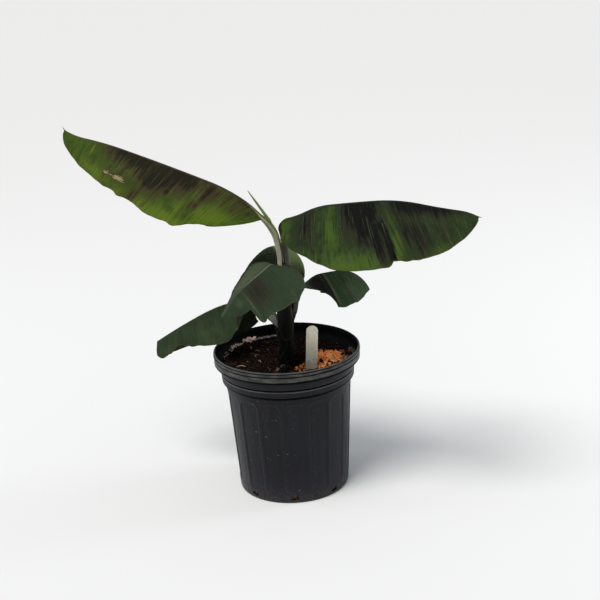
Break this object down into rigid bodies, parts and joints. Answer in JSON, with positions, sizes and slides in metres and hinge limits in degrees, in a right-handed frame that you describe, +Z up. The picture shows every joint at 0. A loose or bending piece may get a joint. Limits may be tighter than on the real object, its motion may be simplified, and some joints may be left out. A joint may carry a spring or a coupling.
{
  "type": "potted banana plant",
  "caption": "Young banana plant with a thick stem of leaf sheaths and broad drooping leaves, in a round nursery pot of soil with a blank plant label.",
  "frame": {"origin": "middle of the pot's flat underside", "axes": "+Z up along the pot's axis, -Y towards the front, +X to the right seen from the front"},
  "size_m": [0.4374, 0.23, 0.4176],
  "materials": {
    "pot": "satin",
    "soil": "matte",
    "label": "satin",
    "stem": "satin",
    "leaf": "satin"
  },
  "bodies": {
    "root": {"pot": "pot", "soil": "soil", "plant_label": "label", "pseudostem": "stem", "leaf_upper_left": "leaf", "leaf_upper_right": "leaf", "leaf_back": "leaf", "leaf_front": "leaf", "leaf_lower_left": "leaf", "leaf_lower_right": "leaf", "furled_leaf": "leaf"}
  },
  "joints": []
}
